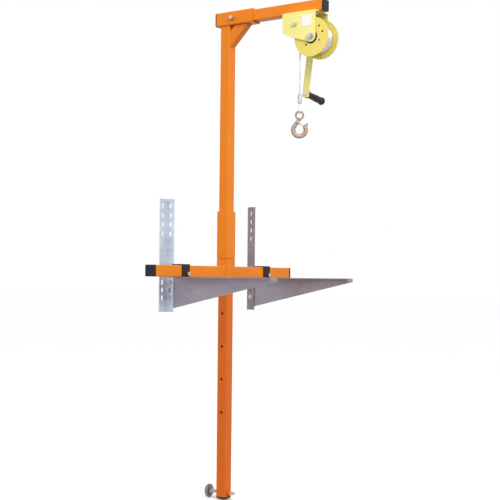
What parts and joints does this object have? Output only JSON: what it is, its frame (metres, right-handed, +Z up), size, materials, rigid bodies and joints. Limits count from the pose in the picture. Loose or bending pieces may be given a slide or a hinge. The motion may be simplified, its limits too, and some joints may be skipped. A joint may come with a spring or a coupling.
{
  "type": "wall bracket hoist with hand winch",
  "caption": "Portable hoist: a mast with a boom and hand winch, on a crossbar that rests on two wall brackets, with wire rope and latch hook.",
  "frame": {"origin": "wall plane, midway between the brackets, level with the arms' top faces", "axes": "+X away from the wall along the boom, +Y along the crossbar, +Z up"},
  "size_m": [0.534, 0.832, 1.781],
  "materials": {
    "orange_paint": "powder coat, semi gloss",
    "yellow_paint": "paint, semi gloss",
    "black_plastic": "moulded",
    "black_rubber": "moulded grip",
    "black_paint": "satin",
    "galvanised": "hot dip zinc",
    "zinc": "bright zinc plate",
    "dark_steel": "blackened",
    "rope_wire": "stranded wire",
    "bronze": "copper coloured plate",
    "label": "blank sticker",
    "friction": "friction lining"
  },
  "bodies": {
    "wall_brackets": {"left_rail": "galvanised", "right_rail": "galvanised", "left_arm": "galvanised", "right_arm": "galvanised", "arm_bolts": "zinc", "arm_nuts": "zinc", "arm_washers": "zinc", "crossbar_left": "orange_paint", "crossbar_right": "orange_paint", "mast_socket": "orange_paint", "left_bar_cap": "black_plastic", "right_bar_cap": "black_plastic"},
    "left_stirrup_clamp": {"left_stirrup": "black_paint", "left_clamp_bolt": "zinc"},
    "right_stirrup_clamp": {"right_stirrup": "black_paint", "right_clamp_bolt": "zinc"},
    "lower_mast_assembly": {"lower_mast": "orange_paint", "mast_sleeve": "orange_paint", "foot_cap": "black_plastic", "pad_nut": "orange_paint"},
    "wall_pad": {"pad_rod": "zinc", "pad_disc": "dark_steel", "pad_hub": "zinc"},
    "upper_mast_assembly": {"upper_mast": "orange_paint", "boom_sleeve": "orange_paint", "brace": "orange_paint", "sleeve_cap": "black_plastic", "boom_lock_nut": "orange_paint"},
    "boom_lock": {"boom_lock_screw": "zinc"},
    "boom": {"boom_tube": "orange_paint", "boom_cap": "black_plastic", "winch_frame": "yellow_paint", "winch_bolts": "zinc", "blank_label": "label", "drum_axle": "zinc", "axle_nuts": "zinc", "pawl_pivot": "zinc", "pawl_spring": "zinc"},
    "drum": {"drum_core": "yellow_paint", "near_flange": "yellow_paint", "far_flange": "yellow_paint", "drum_gear": "zinc", "rope_windings": "rope_wire", "rope_anchor": "dark_steel"},
    "crank": {"pinion_shaft": "zinc", "pinion": "zinc", "ratchet_wheel": "dark_steel", "brake_discs": "friction", "brake_hub": "yellow_paint", "crank_arm": "yellow_paint", "crank_nut": "zinc", "grip_pin": "zinc"},
    "grip": {"crank_grip": "black_rubber"},
    "pawl": {"pawl": "dark_steel"},
    "rope_end": {"hanging_rope": "rope_wire", "rope_ferrule": "zinc", "rope_loop": "rope_wire"},
    "hook": {"hook": "bronze", "latch_pin": "zinc"},
    "latch": {"latch": "zinc"}
  },
  "joints": [
    {"name": "left_stirrup_slide", "type": "slide", "parent": "wall_brackets", "child": "left_stirrup_clamp", "axis": [0, 1, 0], "range_m": [-0.1, 0.15]},
    {"name": "right_stirrup_slide", "type": "slide", "parent": "wall_brackets", "child": "right_stirrup_clamp", "axis": [0, 1, 0], "range_m": [-0.15, 0.1]},
    {"name": "lower_mast_slide", "type": "slide", "parent": "wall_brackets", "child": "lower_mast_assembly", "axis": [0, 0, 1], "range_m": [0, 0.48]},
    {"name": "wall_pad_screw", "type": "slide", "parent": "lower_mast_assembly", "child": "wall_pad", "axis": [1, 0, 0], "range_m": [-0.0075, 0.027]},
    {"name": "upper_mast_lift", "type": "slide", "parent": "lower_mast_assembly", "child": "upper_mast_assembly", "axis": [0, 0, 1], "range_m": [0, 0.09]},
    {"name": "boom_lock_turn", "type": "hinge", "parent": "upper_mast_assembly", "child": "boom_lock", "pos_m": [0.118, -0.034, 0.948], "axis": [0, -1, 0], "range_deg": [0, 360]},
    {"name": "boom_slide", "type": "slide", "parent": "upper_mast_assembly", "child": "boom", "axis": [1, 0, 0], "range_m": [-0.015, 0.035]},
    {"name": "drum_spin", "type": "hinge", "parent": "boom", "child": "drum", "pos_m": [0.465, 0, 0.836], "axis": [0, -1, 0], "range_deg": [-110, 880]},
    {"name": "crank_spin", "type": "hinge", "parent": "boom", "child": "crank", "pos_m": [0.40097, 0, 0.88602], "axis": [0, -1, 0], "range_deg": [-3525, 445]},
    {"name": "grip_spin", "type": "hinge", "parent": "crank", "child": "grip", "pos_m": [0.37343, 0.072, 0.66171], "axis": [0, 0.9925, -0.1219], "continuous": true},
    {"name": "pawl_lift", "type": "hinge", "parent": "boom", "child": "pawl", "pos_m": [0.44997, 0.05, 0.89802], "axis": [0, -1, 0], "range_deg": [0, 25], "stiffness_Nm_per_rad": 0.01, "springref_deg": -17.19},
    {"name": "rope_run", "type": "slide", "parent": "boom", "child": "rope_end", "axis": [0, 0, -1], "range_m": [-0.102, 0.806], "deforming": ["hanging_rope"]},
    {"name": "hook_swing", "type": "hinge", "parent": "rope_end", "child": "hook", "pos_m": [0.4127, -0.0255, 0.5741], "axis": [-0.5807, 0.8141, 0], "range_deg": [-35, 35]},
    {"name": "latch_open", "type": "hinge", "parent": "hook", "child": "latch", "pos_m": [0.407, -0.02957, 0.543], "axis": [-0.5807, 0.8141, 0], "range_deg": [0, 35], "stiffness_Nm_per_rad": 0.02, "springref_deg": -17.19}
  ],
  "couplings": [
    {"joint": "crank_spin", "follows": "drum_spin", "ratio": -4},
    {"joint": "rope_run", "follows": "drum_spin", "m_per_rad": 0.0523}
  ]
}
